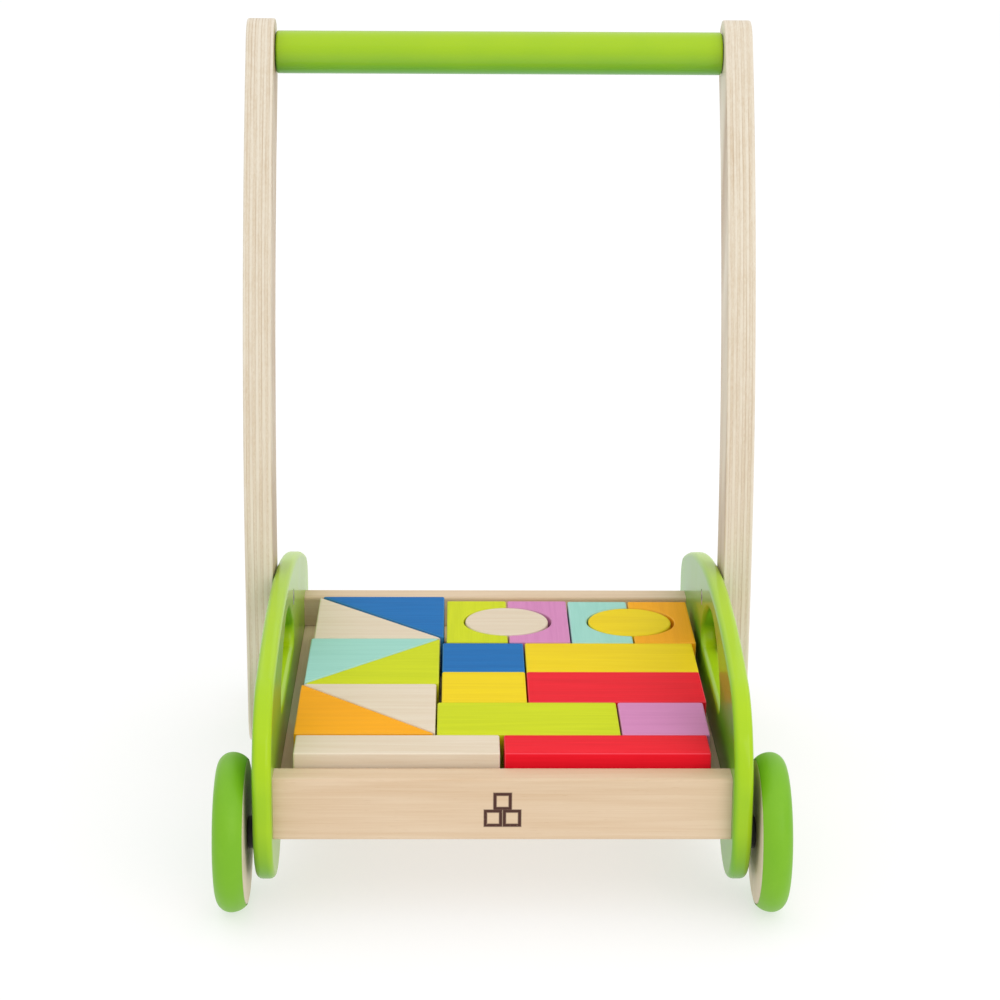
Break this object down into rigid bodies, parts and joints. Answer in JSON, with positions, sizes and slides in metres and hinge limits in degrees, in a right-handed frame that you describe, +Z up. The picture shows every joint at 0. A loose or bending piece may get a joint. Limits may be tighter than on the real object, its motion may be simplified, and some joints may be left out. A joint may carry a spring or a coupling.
{
  "type": "baby walker",
  "caption": "Wooden push-along baby walker: a tray of building blocks on four wheels between glossy side panels, with two curved plywood arms and a round push bar.",
  "frame": {"origin": "centre of the footprint, on the floor that the wheels stand on", "axes": "+Z up; -Y to the front of the cart, +Y to the push bar; +X to the right of someone looking at the front"},
  "size_m": [0.28, 0.355, 0.41],
  "materials": {
    "green_paint": "high-gloss lacquer over birch ply",
    "handle_paint": "high-gloss lacquer over turned beech",
    "plywood": "clear satin lacquer over birch ply, plies showing on the edges",
    "board_wood": "clear satin lacquer over solid pale wood",
    "floor_wood": "clear satin lacquer over thin ply",
    "natural_wood": "clear satin lacquer over pale wood",
    "tyre_green": "satin moulded rubber",
    "steel": "zinc plated",
    "dark_steel": "dark plated",
    "nylon": "matt",
    "blue_stain": "satin water-based paint",
    "yellow_stain": "satin water-based paint",
    "lime_stain": "satin water-based paint",
    "red_stain": "satin water-based paint",
    "orange_stain": "satin water-based paint",
    "mint_stain": "satin water-based paint",
    "lilac_stain": "satin water-based paint"
  },
  "bodies": {
    "frame": {"left_side_panel": "green_paint", "left_handle_arm": "plywood", "left_handle_screw": "steel", "left_upper_arm_bolt": "steel", "left_upper_arm_nut": "dark_steel", "left_lower_arm_bolt": "steel", "left_lower_arm_nut": "dark_steel", "front_left_board_screw": "steel", "front_left_axle_cap": "natural_wood", "front_left_wheel_spacer": "nylon", "rear_left_board_screw": "steel", "rear_left_axle_cap": "natural_wood", "rear_left_wheel_spacer": "nylon", "right_side_panel": "green_paint", "right_handle_arm": "plywood", "right_handle_screw": "steel", "right_upper_arm_bolt": "steel", "right_upper_arm_nut": "dark_steel", "right_lower_arm_bolt": "steel", "right_lower_arm_nut": "dark_steel", "front_right_board_screw": "steel", "front_right_axle_cap": "natural_wood", "front_right_wheel_spacer": "nylon", "rear_right_board_screw": "steel", "rear_right_axle_cap": "natural_wood", "rear_right_wheel_spacer": "nylon", "handle_bar": "handle_paint", "front_board": "board_wood", "back_board": "board_wood", "tray_floor": "floor_wood", "front_axle": "steel", "rear_axle": "steel"},
    "front_left_wheel": {"front_left_wheel_disc": "natural_wood", "front_left_tyre": "tyre_green"},
    "rear_left_wheel": {"rear_left_wheel_disc": "natural_wood", "rear_left_tyre": "tyre_green"},
    "front_right_wheel": {"front_right_wheel_disc": "natural_wood", "front_right_tyre": "tyre_green"},
    "rear_right_wheel": {"rear_right_wheel_disc": "natural_wood", "rear_right_tyre": "tyre_green"},
    "block_plank_natural": {"block_plank_natural": "natural_wood"},
    "block_plank_red": {"block_plank_red": "red_stain"},
    "block_triangle_orange": {"block_triangle_orange": "orange_stain"},
    "block_triangle_natural_front": {"block_triangle_natural_front": "natural_wood"},
    "block_triangle_lime": {"block_triangle_lime": "lime_stain"},
    "block_triangle_mint": {"block_triangle_mint": "mint_stain"},
    "block_triangle_natural_back": {"block_triangle_natural_back": "natural_wood"},
    "block_triangle_blue": {"block_triangle_blue": "blue_stain"},
    "block_long_lime": {"block_long_lime": "lime_stain"},
    "block_short_lilac": {"block_short_lilac": "lilac_stain"},
    "block_short_yellow": {"block_short_yellow": "yellow_stain"},
    "block_long_red": {"block_long_red": "red_stain"},
    "block_short_blue": {"block_short_blue": "blue_stain"},
    "block_long_yellow": {"block_long_yellow": "yellow_stain"},
    "block_arch_lime": {"block_arch_lime": "lime_stain"},
    "block_arch_lilac": {"block_arch_lilac": "lilac_stain"},
    "block_disc_natural": {"block_disc_natural": "natural_wood"},
    "block_arch_mint": {"block_arch_mint": "mint_stain"},
    "block_arch_orange": {"block_arch_orange": "orange_stain"},
    "block_disc_yellow": {"block_disc_yellow": "yellow_stain"}
  },
  "joints": [
    {"name": "front_left_wheel_spin", "type": "hinge", "parent": "frame", "child": "front_left_wheel", "pos_m": [-0.1325, -0.13825, 0.03925], "axis": [1, 0, 0], "continuous": true},
    {"name": "front_right_wheel_spin", "type": "hinge", "parent": "frame", "child": "front_right_wheel", "pos_m": [0.1325, -0.13825, 0.03925], "axis": [1, 0, 0], "continuous": true},
    {"name": "rear_left_wheel_spin", "type": "hinge", "parent": "frame", "child": "rear_left_wheel", "pos_m": [-0.1325, 0.13825, 0.03925], "axis": [1, 0, 0], "continuous": true},
    {"name": "rear_right_wheel_spin", "type": "hinge", "parent": "frame", "child": "rear_right_wheel", "pos_m": [0.1325, 0.13825, 0.03925], "axis": [1, 0, 0], "continuous": true},
    {"name": "plank_natural_lift", "type": "slide", "parent": "frame", "child": "block_plank_natural", "axis": [0, 0, 1], "range_m": [0, 0.075]},
    {"name": "plank_red_lift", "type": "slide", "parent": "frame", "child": "block_plank_red", "axis": [0, 0, 1], "range_m": [0, 0.075]},
    {"name": "triangle_orange_lift", "type": "slide", "parent": "frame", "child": "block_triangle_orange", "axis": [0, 0, 1], "range_m": [0, 0.075]},
    {"name": "triangle_natural_front_lift", "type": "slide", "parent": "frame", "child": "block_triangle_natural_front", "axis": [0, 0, 1], "range_m": [0, 0.075]},
    {"name": "triangle_lime_lift", "type": "slide", "parent": "frame", "child": "block_triangle_lime", "axis": [0, 0, 1], "range_m": [0, 0.075]},
    {"name": "triangle_mint_lift", "type": "slide", "parent": "frame", "child": "block_triangle_mint", "axis": [0, 0, 1], "range_m": [0, 0.075]},
    {"name": "triangle_natural_back_lift", "type": "slide", "parent": "frame", "child": "block_triangle_natural_back", "axis": [0, 0, 1], "range_m": [0, 0.075]},
    {"name": "triangle_blue_lift", "type": "slide", "parent": "frame", "child": "block_triangle_blue", "axis": [0, 0, 1], "range_m": [0, 0.075]},
    {"name": "long_lime_lift", "type": "slide", "parent": "frame", "child": "block_long_lime", "axis": [0, 0, 1], "range_m": [0, 0.075]},
    {"name": "short_lilac_lift", "type": "slide", "parent": "frame", "child": "block_short_lilac", "axis": [0, 0, 1], "range_m": [0, 0.075]},
    {"name": "short_yellow_lift", "type": "slide", "parent": "frame", "child": "block_short_yellow", "axis": [0, 0, 1], "range_m": [0, 0.075]},
    {"name": "long_red_lift", "type": "slide", "parent": "frame", "child": "block_long_red", "axis": [0, 0, 1], "range_m": [0, 0.075]},
    {"name": "short_blue_lift", "type": "slide", "parent": "frame", "child": "block_short_blue", "axis": [0, 0, 1], "range_m": [0, 0.075]},
    {"name": "long_yellow_lift", "type": "slide", "parent": "frame", "child": "block_long_yellow", "axis": [0, 0, 1], "range_m": [0, 0.075]},
    {"name": "arch_lime_lift", "type": "slide", "parent": "frame", "child": "block_arch_lime", "axis": [0, 0, 1], "range_m": [0, 0.075]},
    {"name": "arch_lilac_lift", "type": "slide", "parent": "frame", "child": "block_arch_lilac", "axis": [0, 0, 1], "range_m": [0, 0.075]},
    {"name": "disc_natural_lift", "type": "slide", "parent": "frame", "child": "block_disc_natural", "axis": [0, 0, 1], "range_m": [0, 0.075]},
    {"name": "arch_mint_lift", "type": "slide", "parent": "frame", "child": "block_arch_mint", "axis": [0, 0, 1], "range_m": [0, 0.075]},
    {"name": "arch_orange_lift", "type": "slide", "parent": "frame", "child": "block_arch_orange", "axis": [0, 0, 1], "range_m": [0, 0.075]},
    {"name": "disc_yellow_lift", "type": "slide", "parent": "frame", "child": "block_disc_yellow", "axis": [0, 0, 1], "range_m": [0, 0.075]}
  ]
}
